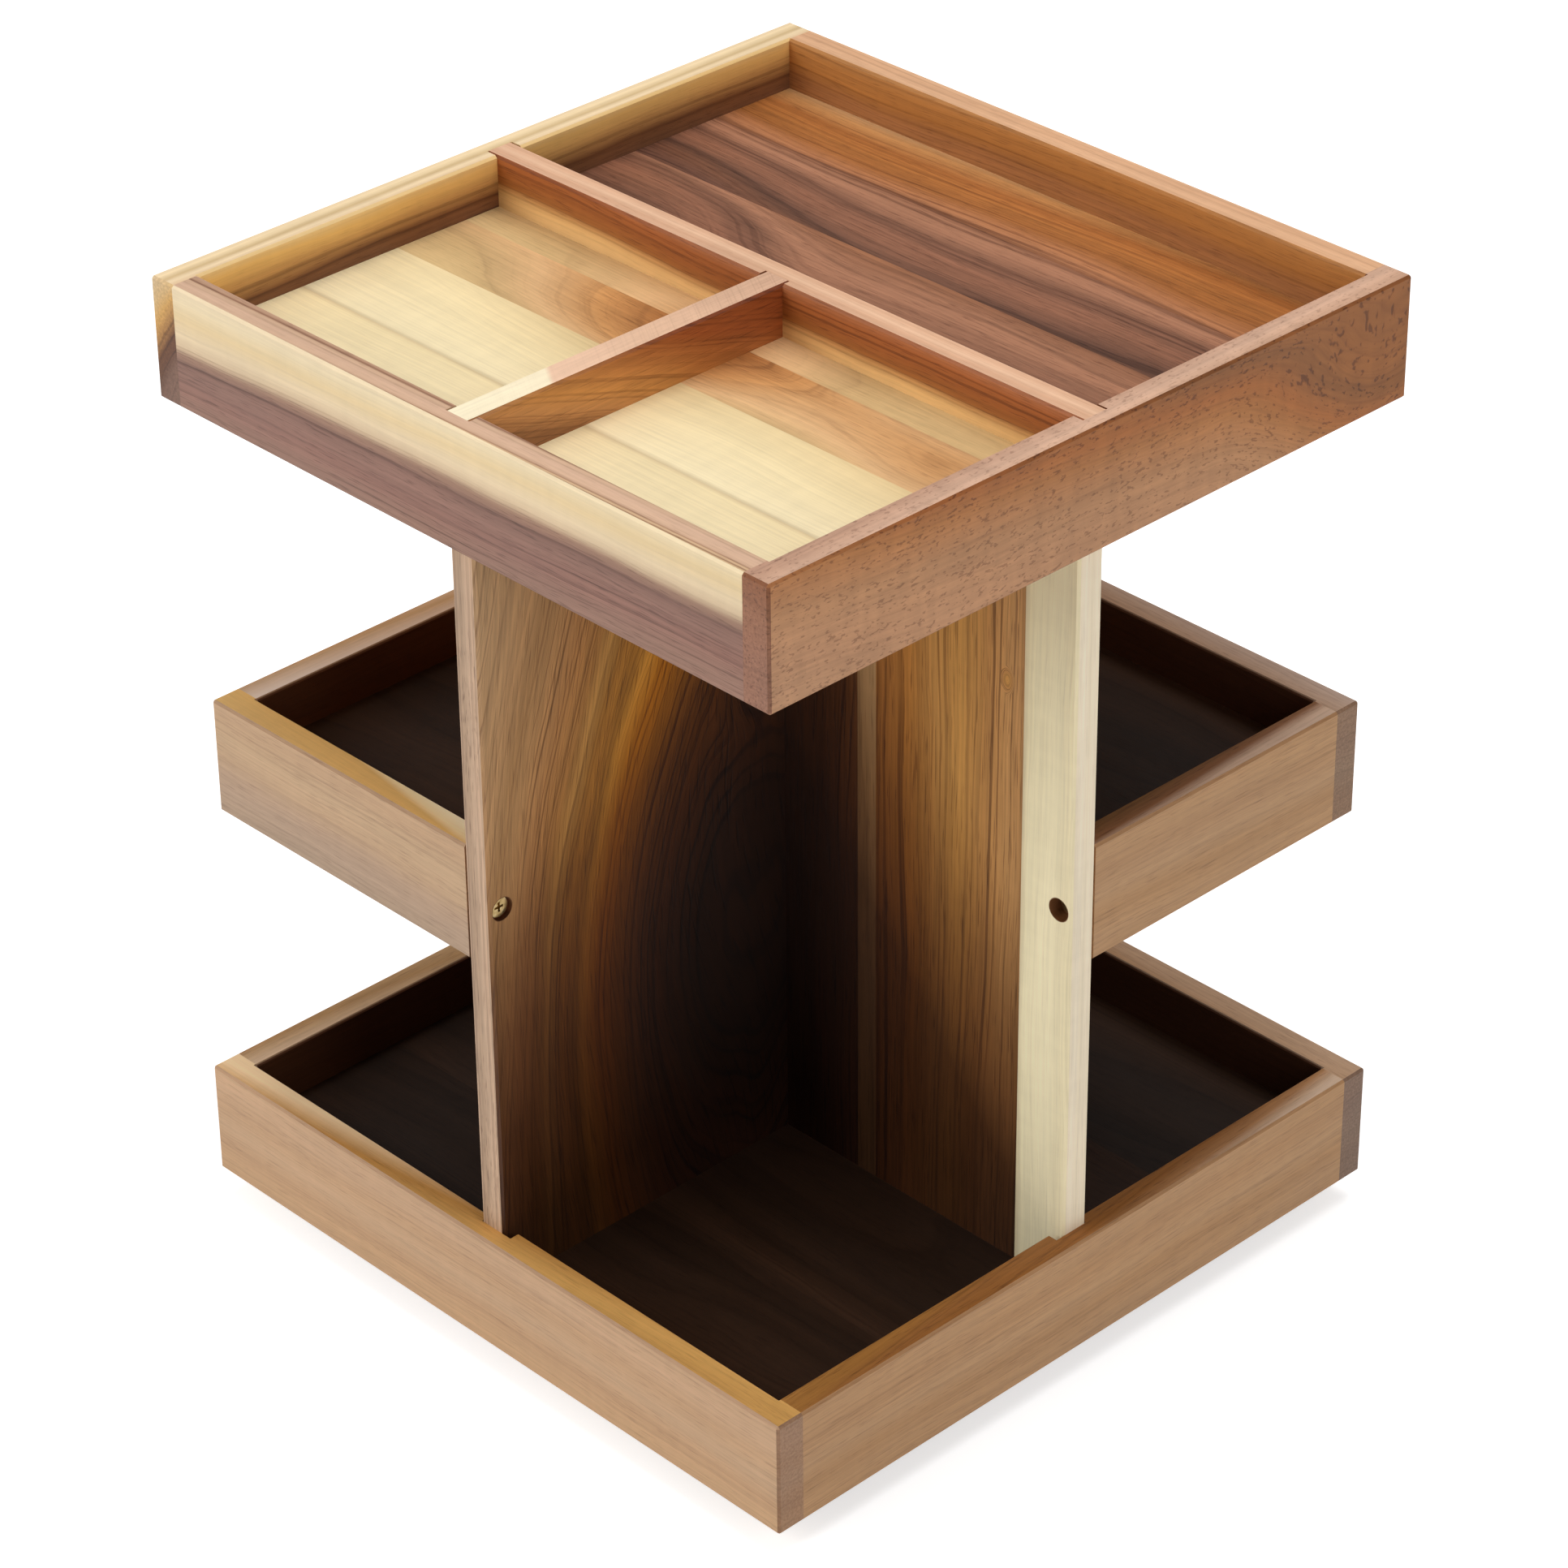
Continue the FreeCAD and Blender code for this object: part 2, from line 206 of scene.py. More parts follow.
def round_edges(piece, width, segments, least_turn):
    """Rounds the edges of the active piece that turn by more than an angle in degrees."""
    rounding = piece.modifiers.new("rounded_edges", "BEVEL")
    rounding.width = width
    rounding.segments = segments
    rounding.limit_method = "ANGLE"
    rounding.angle_limit = math.radians(least_turn)
    bpy.ops.object.modifier_apply(modifier=rounding.name)


def joined(pieces, name):
    """The pieces made one object."""
    bpy.ops.object.select_all(action="DESELECT")
    for piece in pieces:
        piece.select_set(True)
    bpy.context.view_layer.objects.active = pieces[0]
    bpy.ops.object.join()
    whole = bpy.context.object
    whole.name = name
    return whole


def round_the_axis(reach, degrees, height):
    """A place at a distance from the stand's axis."""
    angle = math.radians(degrees)
    return (reach * math.cos(angle), reach * math.sin(angle), height)


foot_height = 0.003
foot_radius = 0.009
foot_reach = 0.088
foot_recess_inset = 0.0042
foot_recess_depth = 0.0011
foot_screw_inset = 0.0016
foot_screw_rise = 0.0006
rubber, rubber_tree, rubber_skin, rubber_place = new_material("black_foot_rubber")
rubber_grain = shader_node(rubber_tree, "TexNoise", {
    "Vector": rubber_place.outputs["Object"],
    "Scale": 2600.0,
    "Detail": 4.0,
})
rubber_dust = shader_node(rubber_tree, "TexNoise", {
    "Vector": rubber_place.outputs["Object"],
    "Scale": 160.0,
    "Detail": 5.0,
})
rubber_bump = shader_node(rubber_tree, "Bump", {
    "Height": rubber_grain.outputs["Fac"],
    "Strength": 0.25,
    "Distance": 0.0001,
})
feed(rubber_skin, {
    "Base Color": ramp(rubber_tree, rubber_dust.outputs["Fac"], [
        (0.35, seen_colour(24, 24, 25)),
        (0.75, seen_colour(52, 51, 50)),
    ]),
    "Normal": rubber_bump.outputs["Normal"],
    "Roughness": 0.72,
})

feet = []
for quarter in range(4):
    bpy.ops.object.select_all(action="DESELECT")
    bpy.ops.mesh.primitive_cylinder_add(
        vertices=48, radius=foot_radius, depth=foot_height,
        location=round_the_axis(foot_reach, 90.0 * quarter, foot_height / 2))
    foot = bpy.context.object
    bpy.ops.object.transform_apply(location=True, rotation=True, scale=True)
    choose(foot, "FACE", looks_down)
    bpy.ops.mesh.inset(thickness=foot_recess_inset)
    bpy.ops.mesh.extrude_region_move(
        TRANSFORM_OT_translate={"value": (0.0, 0.0, foot_recess_depth)})
    bpy.ops.mesh.inset(thickness=foot_screw_inset)
    bpy.ops.mesh.extrude_region_move(
        TRANSFORM_OT_translate={"value": (0.0, 0.0, -foot_screw_rise)})
    bpy.ops.object.mode_set(mode="OBJECT")
    round_edges(foot, width=0.0005, segments=3, least_turn=40.0)
    bpy.ops.object.shade_smooth_by_angle(angle=math.radians(35.0))
    feet.append(foot)
rubber_feet = joined(feet, "rubber_feet")
rubber_feet.data.materials.append(rubber)
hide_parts("base_feet")
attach(rubber_feet, "base")


# The base is a turned disc glued up from three boards, with round rims, and oiled. The one hole
# through it lets a screwdriver reach the bearing's upper screws.
mm_per_metre = 1000.0

# Staves start from this place across the board, in mm, and lie within this span.
staves_start = -160.0
staves_span = 500.0


def level_range(tree, value, low, high, to_low=0.0, to_high=1.0, smooth=False):
    """The value stretched from one range to another and held inside it."""
    kind = "SMOOTHSTEP" if smooth else "LINEAR"
    node = shader_node(tree, "MapRange", {
        "Value": value,
        "From Min": low,
        "From Max": high,
        "To Min": to_low,
        "To Max": to_high,
    }, interpolation_type=kind)
    return node.outputs["Result"]


def added(tree, total, *others):
    """The sum of numbers."""
    for other in others:
        total = combined(tree, "ADD", total, other)
    return total


def product(tree, total, *others):
    """The product of numbers."""
    for other in others:
        total = combined(tree, "MULTIPLY", total, other)
    return total


def vector_math(tree, operation, first, second=(0.0, 0.0, 0.0), result="Vector"):
    """A place or a number out of two places, by an operation of their parts."""
    node = shader_node(tree, "VectorMath", {0: first, 1: second}, operation=operation)
    return node.outputs[result]


def scaled(tree, vector, factor):
    """A place or a colour times a number."""
    node = shader_node(tree, "VectorMath", {0: vector, "Scale": factor}, operation="SCALE")
    return node.outputs["Vector"]


def laid_over(tree, share, under, over, blend="MIX"):
    """One colour laid over another by a share from 0 to 1."""
    under_socket, over_socket, result_socket = 6, 7, 2
    node = shader_node(tree, "Mix", {"Factor": share, under_socket: under, over_socket: over},
                       data_type="RGBA", blend_type=blend)
    return node.outputs[result_socket]


def darkened(tree, share, wood, tint):
    """The wood with a tint multiplied into it by a share from 0 to 1."""
    return laid_over(tree, share, wood, tint, "MULTIPLY")


def colour_band(tree, value, colours):
    """Seen colours by a value in mm. Each is a value and its colour, in rising order."""
    first, last = colours[0][0], colours[-1][0]
    return ramp(tree, level_range(tree, value, first, last), [
        ((start - first) / (last - first), seen_colour(*colour)) for start, colour in colours
    ])


def grain_noise(tree, spot, along, across, detail=2.0):
    """Noise drawn out along the grain. along and across are its sizes in mm."""
    sizes = (1.0 / along, 1.0 / across, 1.0 / across)
    noise = shader_node(tree, "TexNoise", {
        "Vector": vector_math(tree, "MULTIPLY", spot, sizes),
        "Scale": 1.0,
        "Detail": detail,
    })
    return noise.outputs["Fac"]


def ring_noise(tree, ring, width, detail):
    """Noise that runs outwards through the growth rings, so that it shows as streaks."""
    noise = shader_node(tree, "TexNoise", {
        "W": combined(tree, "DIVIDE", ring, width),
        "Scale": 1.0,
        "Detail": detail,
        "Roughness": 0.62,
    }, noise_dimensions="1D")
    return noise.outputs["Fac"]


def knot_pull(tree, spot, knot):
    """How far the growth rings are pushed out round a knot, in mm."""
    along, across, size, push = knot
    offset = vector_math(tree, "SUBTRACT", spot, (along, across, 0.0))
    spread = (0.6 / size, 1.0 / size, 0.0)
    distance = vector_math(tree, "LENGTH", vector_math(tree, "MULTIPLY", offset, spread),
                          result="Value")
    return level_range(tree, distance, 0.0, 1.0, push, 0.0, smooth=True)


def timber(name, grain, across, pith, growth, lean=0.0, edge=None, edge_lean=0.0,
           edge_wander=1.0, wander=2.5, streaks=0.06, fibres=0.06, lines=0.3, pores=0.35,
           pore_length=8.0, pore_width=0.34, curl=0.0, staves=((staves_start, 0.0, 1.0),), knots=(),
           end_tone=(1.0, 1.0, 1.0), arris=0.55, painted_shade_by_height=None, painted_hole_shade=None, painted_inner_shade=None):
    """The wood of a board, cut out of a log. Lengths are in mm.

    grain is the board's axis along the grain and across the one across its face. pith is the
    middle of the log, across and through the board, and lean its drift for each mm of length.
    growth gives colours by distance from the pith. edge gives those of the narrow edges by depth
    through the board, with their own lean and wander. A stave has its start across the board,
    what it adds to the distance from the pith, and its brightness. A knot has its place along and
    across, its size and its push. end_tone darkens the end grain, and arris the arrises. heartwood
    gives tints of painted shade by height, which rise towards the middle and which pale sapwood
    doesn't take; tints above white are painted light. drilled is how far along and across a hole
    is, round which painted shade darkens the wood, and stain the depth of the inner side that is
    darkened by painted shade and how far along it goes.
    """
    material, tree, surface, place = new_material(name)
    through = "XYZ".replace(grain, "").replace(across, "")

    # The place on the board in mm, and the side of the board that it is on.
    axes = shader_node(tree, "SeparateXYZ", {0: place.outputs["Object"]})
    board = shader_node(tree, "CombineXYZ", {
        "X": axes.outputs[grain],
        "Y": axes.outputs[across],
        "Z": axes.outputs[through],
    })
    spot = scaled(tree, board.outputs[0], mm_per_metre)
    parts = shader_node(tree, "SeparateXYZ", {0: spot})
    outward = shader_node(tree, "SeparateXYZ", {0: place.outputs["Normal"]})
    facing = {axis: combined(tree, "ABSOLUTE", outward.outputs[axis]) for axis in "XYZ"}
    on_edge = level_range(tree, facing[across], 0.72, 0.9, smooth=True)
    on_end = level_range(tree, facing[grain], 0.5, 0.75, smooth=True)
    widest = combined(tree, "MAXIMUM", facing["Z"],
                      combined(tree, "MAXIMUM", facing["X"], facing["Y"]))
    on_arris = level_range(tree, widest, 0.76, 0.9, arris, 0.0)

    # What each stave adds, its brightness and its own part of the noise, packed into a colour.
    reach = level_range(tree, parts.outputs["Y"], staves_start, staves_start + staves_span)
    most_added = 200.0
    stave = ramp(tree, reach, [
        ((start - staves_start) / staves_span,
         (extra / (2.0 * most_added) + 0.5, brightness / 2.0, (order * 0.37) % 1.0, 1.0))
        for order, (start, extra, brightness) in enumerate(staves)
    ], "CONSTANT")
    stave_parts = shader_node(tree, "SeparateColor", {0: stave})
    stave_extra = level_range(tree, stave_parts.outputs["Red"], 0.0, 1.0, -most_added, most_added)
    stave_brightness = product(tree, stave_parts.outputs["Green"], 2.0)
    stave_shift = vector_math(tree, "MULTIPLY", stave, (300.0, 0.0, 500.0))
    figure = vector_math(tree, "ADD", spot, stave_shift)

    # The growth rings, by their distance from the pith, drawn out of true by waves and knots.
    waves = added(
        tree,
        level_range(tree, grain_noise(tree, figure, 220.0, 60.0), 0.3, 0.7, -wander, wander),
        level_range(tree, grain_noise(tree, figure, 60.0, 14.0), 0.3, 0.7, -0.5, 0.5),
        *[knot_pull(tree, spot, knot) for knot in knots])
    leaning = vector_math(tree, "DOT_PRODUCT", spot, (lean, 1.0, 0.0), "Value")
    aside = combined(tree, "SUBTRACT", leaning, pith[0])
    from_pith = shader_node(tree, "CombineXYZ", {
        "X": aside,
        "Y": combined(tree, "SUBTRACT", parts.outputs["Z"], pith[1]),
    })
    distance = vector_math(tree, "LENGTH", from_pith.outputs[0], result="Value")
    radius = added(tree, stave_extra, waves, distance)
    bend = product(tree, waves, combined(tree, "DIVIDE", aside, distance))
    bent = shader_node(tree, "CombineXYZ", {"Y": bend})
    figure = vector_math(tree, "ADD", figure, bent.outputs[0])

    # The wood's colour by ring, or on its narrow edges by depth. The darker it is, the more
    # marked are its streaks, pores and arrises.
    wood = colour_band(tree, radius, growth)
    ring = radius
    if edge:
        drift = vector_math(tree, "DOT_PRODUCT", spot, (edge_lean, 0.0, 1.0), "Value")
        edge_waves = level_range(tree, grain_noise(tree, figure, 160.0, 30.0), 0.3, 0.7,
                                 -edge_wander, edge_wander)
        depth = added(tree, drift, edge_waves)
        wood = laid_over(tree, on_edge, wood, colour_band(tree, depth, edge))
        ring = shader_node(tree, "Mix", {0: on_edge, 2: radius, 3: depth}).outputs[0]
    paleness = shader_node(tree, "RGBToBW", {0: wood}).outputs[0]
    marked = level_range(tree, paleness, 0.15, 0.60, 1.0, 0.1)

    # Streaks along the rings, fibres, clouds and a shine across the grain.
    fibre = grain_noise(tree, figure, 40.0, 0.9, 3.0)
    cloud = grain_noise(tree, figure, 90.0, 22.0)
    shine = grain_noise(tree, figure, 5.0, 16.0)
    streak = product(tree, added(
        tree,
        level_range(tree, ring_noise(tree, ring, 6.0, 3.0), 0.3, 0.7, -streaks, streaks),
        level_range(tree, fibre, 0.3, 0.7, -fibres, fibres)), marked)
    wood = scaled(tree, wood, added(
        tree, streak,
        level_range(tree, fibre, 0.25, 0.75, -0.05, 0.05),
        level_range(tree, cloud, 0.3, 0.7, -0.05, 0.05),
        level_range(tree, shine, 0.3, 0.7, -0.02 - curl, 0.02 + curl),
        stave_brightness))

    # Dark lines at the rings, and the pores.
    patches = level_range(tree, grain_noise(tree, figure, 120.0, 14.0), 0.35, 0.65, 0.3, 1.0)
    line = product(
        tree, level_range(tree, ring_noise(tree, ring, 1.4, 2.0), 0.50, 0.68, smooth=True),
        patches, marked)
    wood = darkened(tree, product(tree, line, lines), wood, seen_colour(120, 84, 66))
    pore = product(
        tree, level_range(tree, grain_noise(tree, figure, pore_length, pore_width, 1.0),
                          0.58, 0.70, smooth=True),
        marked)
    wood = darkened(tree, product(tree, pore, pores), wood, seen_colour(120, 82, 62))

    # End grain, the sanded arrises, which are darkened, and the glued seams between staves.
    end_pores = level_range(tree, grain_noise(tree, spot, 1.0, 0.9, 2.0), 0.35, 0.65)
    wood = darkened(tree, on_end, wood, ramp(tree, end_pores, [
        (level, seen_colour(*[value * tone for value, tone in zip(colour, end_tone)]))
        for level, colour in ((0.0, (214, 206, 203)), (1.0, (236, 230, 228)))
    ]))
    wood = darkened(tree, product(tree, on_arris, marked), wood, seen_colour(176, 152, 140))
    if len(staves) > 1:
        seam_width = 0.0006
        seams = []
        for start, _, _ in staves[1:]:
            middle = (start - staves_start) / staves_span
            seams += [
                (middle - seam_width, white),
                (middle, (0.45, 0.36, 0.3, 1.0)),
                (middle + seam_width, white),
            ]
        wood = darkened(tree, 0.7, wood, ramp(tree, reach, seams))

    # Painted shade: darker by height towards the foot and the middle, round a hole, and on the
    # inner side.
    if painted_shade_by_height:
        rise, tints = painted_shade_by_height
        outwards = product(tree, combined(tree, "ABSOLUTE", parts.outputs["Y"]), rise)
        level = added(tree, outwards, parts.outputs["X"], product(tree, waves, 0.3))
        taken = product(tree, level_range(tree, paleness, 0.46, 0.62, 1.0, 0.0),
                        combined(tree, "SUBTRACT", 1.0, on_edge))
        wood = darkened(tree, taken, wood, colour_band(tree, level, tints))
    # Painted shade in a counterbore: the wood within about 4 mm of the hole's axis is darkened.
    if painted_hole_shade:
        folded = shader_node(tree, "CombineXYZ", {
            "X": parts.outputs["X"],
            "Y": combined(tree, "ABSOLUTE", parts.outputs["Y"]),
        })
        from_axis = vector_math(tree, "DISTANCE", folded.outputs[0], (*painted_hole_shade, 0.0), "Value")
        wood = darkened(tree, level_range(tree, from_axis, 3.8, 4.1, 1.0, 0.0), wood,
                        seen_colour(132, 92, 66))
    # Painted shade on the inner side of a tray wall, between its inside corners.
    if painted_inner_shade:
        inner_side, inner_shade_length = painted_inner_shade
        off = combined(tree, "ABSOLUTE",
                       combined(tree, "SUBTRACT", parts.outputs["Z"], inner_side))
        inner_shade_share = level_range(tree, off, 0.3, 0.7, 1.0, 0.0, smooth=True)
        inside_joint = combined(tree, "LESS_THAN",
                                combined(tree, "ABSOLUTE", parts.outputs["X"]), inner_shade_length)
        wood = darkened(tree, product(tree, inner_shade_share, inside_joint), wood,
                        seen_colour(122, 92, 76))

    relief = combined(tree, "SUBTRACT", product(tree, fibre, 0.5), pore)
    relief = combined(tree, "SUBTRACT", relief, product(tree, line, 0.5))
    bump = shader_node(tree, "Bump", {"Height": relief, "Strength": 0.3, "Distance": 0.00012})
    feed(surface, {
        "Base Color": wood,
        "Roughness": level_range(tree, cloud, 0.2, 0.8, 0.44, 0.58),
        "Normal": bump.outputs["Normal"],
        "Specular IOR Level": 0.28,
    })
    return material


def dress(node, material):
    """Gives a node of the frame its finish."""
    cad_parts[node].material_slots[0].material = material


def cut_away(piece, tool):
    """Cuts a tool's shape out of a piece and removes the tool."""
    bpy.ops.object.select_all(action="DESELECT")
    bpy.context.view_layer.objects.active = piece
    piece.select_set(True)
    cutting = piece.modifiers.new("cut", "BOOLEAN")
    cutting.operation = "DIFFERENCE"
    cutting.solver = "EXACT"
    cutting.object = tool
    bpy.ops.object.modifier_apply(modifier=cutting.name)
    bpy.data.objects.remove(tool)


disc_radius = 0.110
disc_bottom = 0.003
disc_thickness = 0.012
disc_rounding = 0.0015
access_hole_radius = 0.006
plate_screw_reach = 0.066 * math.sqrt(2)
bpy.ops.object.select_all(action="DESELECT")
bpy.ops.mesh.primitive_cylinder_add(
    vertices=128, radius=access_hole_radius, depth=0.04,
    location=round_the_axis(plate_screw_reach, 45.0, 0.01))
access_hole = bpy.context.object
bpy.ops.object.select_all(action="DESELECT")
bpy.ops.mesh.primitive_cylinder_add(
    vertices=192, radius=disc_radius, depth=disc_thickness,
    location=(0.0, 0.0, disc_bottom + disc_thickness / 2))
turned_disc = bpy.context.object
turned_disc.name = "turned_base_disc"
bpy.ops.object.transform_apply(location=True, rotation=True, scale=True)
cut_away(turned_disc, access_hole)
round_edges(turned_disc, width=disc_rounding, segments=4, least_turn=50.0)
bpy.ops.object.shade_smooth_by_angle(angle=math.radians(30.0))
turned_disc.data.materials.append(timber(
    "oiled_disc_wood", "X", "Y", (20.0, -90.0),
    [(70.0, (112, 74, 48)), (95.0, (150, 104, 66)), (120.0, (176, 130, 86)),
     (150.0, (196, 152, 108)), (175.0, (216, 180, 134))],
    wander=7.0, arris=0.0, staves=((-160.0, 0.0, 1.0), (-38.0, 18.0, 1.04), (36.0, -14.0, 0.95))))
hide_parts("base_disc")
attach(turned_disc, "base")


# The bearing is a six inch turntable: two square plates pressed from zinc plated sheet, whose
# races close round a ring of steel balls.
zinc, zinc_tree, zinc_skin, zinc_place = new_material("zinc_plated_bearing_steel")
zinc_spangle = shader_node(zinc_tree, "TexVoronoi", {
    "Vector": zinc_place.outputs["Object"],
    "Scale": 420.0,
})
zinc_cloud = shader_node(zinc_tree, "TexNoise", {
    "Vector": zinc_place.outputs["Object"],
    "Scale": 60.0,
    "Detail": 6.0,
})
zinc_scratch = shader_node(zinc_tree, "TexNoise", {
    "Vector": shader_node(zinc_tree, "Mapping", {
        "Vector": zinc_place.outputs["Object"],
        "Rotation": (0.0, 0.0, math.radians(38.0)),
        "Scale": (30.0, 2400.0, 30.0),
    }).outputs["Vector"],
    "Scale": 1.0,
    "Detail": 3.0,
})
zinc_bump = shader_node(zinc_tree, "Bump", {
    "Height": zinc_scratch.outputs["Fac"],
    "Strength": 0.1,
    "Distance": 0.00003,
})
feed(zinc_skin, {
    "Base Color": ramp(zinc_tree, zinc_cloud.outputs["Fac"], [
        (0.3, seen_colour(176, 180, 186)),
        (0.55, seen_colour(206, 209, 213)),
        (0.75, seen_colour(226, 226, 224)),
    ]),
    "Roughness": added(
        zinc_tree,
        level_range(zinc_tree, zinc_spangle.outputs["Distance"], 0.0, 1.0, 0.26, 0.36),
        level_range(zinc_tree, zinc_scratch.outputs["Fac"], 0.35, 0.65, -0.05, 0.08)),
    "Normal": zinc_bump.outputs["Normal"],
    "Metallic": 1.0,
})
dress("turntable_lower_plate", zinc)
dress("turntable_upper_plate", zinc)

# The balls are bearing steel with a thin film of grease.
ball_steel, ball_tree, ball_skin, ball_place = new_material("greased_ball_steel")
ball_film = shader_node(ball_tree, "TexNoise", {
    "Vector": ball_place.outputs["Object"],
    "Scale": 700.0,
    "Detail": 4.0,
})
feed(ball_skin, {
    "Base Color": ramp(ball_tree, ball_film.outputs["Fac"], [
        (0.35, seen_colour(196, 192, 184)),
        (0.6, seen_colour(226, 227, 230)),
    ]),
    "Roughness": level_range(ball_tree, ball_film.outputs["Fac"], 0.3, 0.7, 0.22, 0.08),
    "Metallic": 1.0,
})

ball_radius = 0.00238
ball_circle = 0.056
ball_height = 0.019
ball_count = 36


def copied(piece, matrix):
    """A copy of a piece with its own mesh, moved there by a matrix."""
    twin = piece.copy()
    twin.data = piece.data.copy()
    twin.data.transform(matrix)
    bpy.context.scene.collection.objects.link(twin)
    return twin


bpy.ops.object.select_all(action="DESELECT")
bpy.ops.mesh.primitive_uv_sphere_add(
    segments=24, ring_count=12, radius=ball_radius, location=(ball_circle, 0.0, ball_height))
ball = bpy.context.object
bpy.ops.object.transform_apply(location=True, rotation=True, scale=True)
bpy.ops.object.shade_smooth()
ball_ring = joined([ball] + [
    copied(ball, Matrix.Rotation(2.0 * math.pi * place / ball_count, 4, "Z"))
    for place in range(1, ball_count)
], "steel_ball_ring")
ball_ring.data.materials.append(ball_steel)
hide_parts("turntable_balls")
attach(ball_ring, "ball_ring")

# The screws are yellow zinc plated steel with a cross recess: pan heads hold the bearing's plates,
# and countersunk heads hold the boards and the middle trays.
yellow_zinc, screw_tree, screw_skin, screw_place = new_material("yellow_zinc_screw_steel")
screw_cloud = shader_node(screw_tree, "TexNoise", {
    "Vector": screw_place.outputs["Object"],
    "Scale": 420.0,
    "Detail": 5.0,
})
feed(screw_skin, {
    "Base Color": ramp(screw_tree, screw_cloud.outputs["Fac"], [
        (0.3, seen_colour(172, 142, 94)),
        (0.5, seen_colour(206, 178, 124)),
        (0.7, seen_colour(222, 202, 156)),
    ]),
    "Roughness": level_range(screw_tree, screw_cloud.outputs["Fac"], 0.3, 0.7, 0.42, 0.26),
    "Metallic": 1.0,
})

screw_point = 0.003
head_lip = 0.0004


def extruded(height, width):
    """Extrudes the chosen faces along Z and scales their new end about the Z axis."""
    bpy.ops.mesh.extrude_region_move(TRANSFORM_OT_translate={"value": (0.0, 0.0, height)})
    bpy.ops.transform.resize(value=(width, width, 1.0), center_override=(0.0, 0.0, 0.0))


def screw_blank(name, head_radius, head_height, shank_radius, length, pan):
    """A screw along +Z. Its head's underside is at the origin if it is a pan, or else its top."""
    low = -head_height if pan else 0.0
    first_height = head_height if pan else head_lip
    bpy.ops.object.select_all(action="DESELECT")
    bpy.ops.mesh.primitive_cylinder_add(
        vertices=32, radius=head_radius, depth=first_height,
        location=(0.0, 0.0, low + first_height / 2))
    screw = bpy.context.object
    screw.name = name
    bpy.ops.object.transform_apply(location=True, rotation=True, scale=True)
    if pan:
        choose(screw, "EDGE", lambda start, end: max(start.z, end.z) < -head_height / 2)
        bpy.ops.mesh.bevel(offset=head_height * 0.45, segments=4, profile=0.6)
    choose(screw, "FACE", looks_up)
    if pan:
        bpy.ops.mesh.inset(thickness=head_radius - shank_radius)
    else:
        extruded(head_height - head_lip, shank_radius / head_radius)
    used = 0.0 if pan else head_height
    extruded(length - screw_point - used, 1.0)
    extruded(screw_point, 0.25)
    bpy.ops.object.mode_set(mode="OBJECT")
    blade_length = head_radius * 1.15
    blade_width = head_radius * 0.27
    recess_depth = head_height * 0.62
    for width, length in ((blade_length, blade_width), (blade_width, blade_length)):
        bpy.ops.object.select_all(action="DESELECT")
        bpy.ops.mesh.primitive_cube_add(size=1.0, location=(0.0, 0.0, 0.0))
        blade = bpy.context.object
        blade.scale = (width, length, recess_depth * 2.0)
        blade.location = (0.0, 0.0, low)
        bpy.ops.object.transform_apply(location=True, rotation=True, scale=True)
        choose(blade, "FACE", looks_up)
        bpy.ops.transform.resize(value=(0.72, 0.72, 1.0), center_override=(0.0, 0.0, 0.0))
        bpy.ops.object.mode_set(mode="OBJECT")
        cut_away(screw, blade)
    bpy.ops.object.shade_smooth_by_angle(angle=math.radians(30.0))
    screw.data.materials.append(yellow_zinc)
    return screw


def driven(blank, seats, name, node, body):
    """Copies of a screw at their seats, each a place and a direction, in a node's stead."""
    turns = [
        Vector(direction).to_track_quat("Z", "Y").to_matrix().to_4x4() for _, direction in seats
    ]
    screws = joined([
        copied(blank, Matrix.Translation(place) @ turn) for (place, _), turn in zip(seats, turns)
    ], name)
    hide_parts(node)
    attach(screws, body)


up = (0, 0, 1)
down = (0, 0, -1)
lower_plate_top = 0.0162
upper_plate_underside = 0.0218
plate_screw = screw_blank("plate_screw", head_radius=0.0034, head_height=0.0019,
                          shank_radius=0.0017, length=0.0077, pan=True)
driven(plate_screw, [
    (round_the_axis(plate_screw_reach, 90.0 * quarter, lower_plate_top), down)
    for quarter in range(4)
], "lower_plate_screws", "turntable_lower_screws", "base")
driven(plate_screw, [
    (round_the_axis(plate_screw_reach, 45.0 + 90.0 * quarter, upper_plate_underside), up)
    for quarter in range(4)
], "upper_plate_screws", "turntable_upper_screws", "stand")
bpy.data.objects.remove(plate_screw)

# The boards stand this far to one side of the axis. Their screws go up through the bottom tray's
# floor and down through the top tray's.
board_offset = 0.0015
foot_screw_reach = 0.100
foot_screw_height = 0.023
head_screw_reach = 0.090
head_screw_height = 0.313
board_screw = screw_blank("board_screw", head_radius=0.0030, head_height=0.0022,
                          shank_radius=0.0017, length=0.030, pan=False)
driven(board_screw, [
    ((-board_offset, -foot_screw_reach, foot_screw_height), up),
    ((foot_screw_reach, board_offset, foot_screw_height), up),
    ((-board_offset, foot_screw_reach, foot_screw_height), up),
    ((-foot_screw_reach, board_offset, foot_screw_height), up),
], "board_foot_screws", "cross_board_foot_screws", "stand")
driven(board_screw, [
    ((-board_offset, -head_screw_reach, head_screw_height), down),
    ((head_screw_reach, board_offset, head_screw_height), down),
    ((-head_screw_reach, board_offset, head_screw_height), down),
], "board_head_screws", "cross_board_head_screws", "stand")
bpy.data.objects.remove(board_screw)

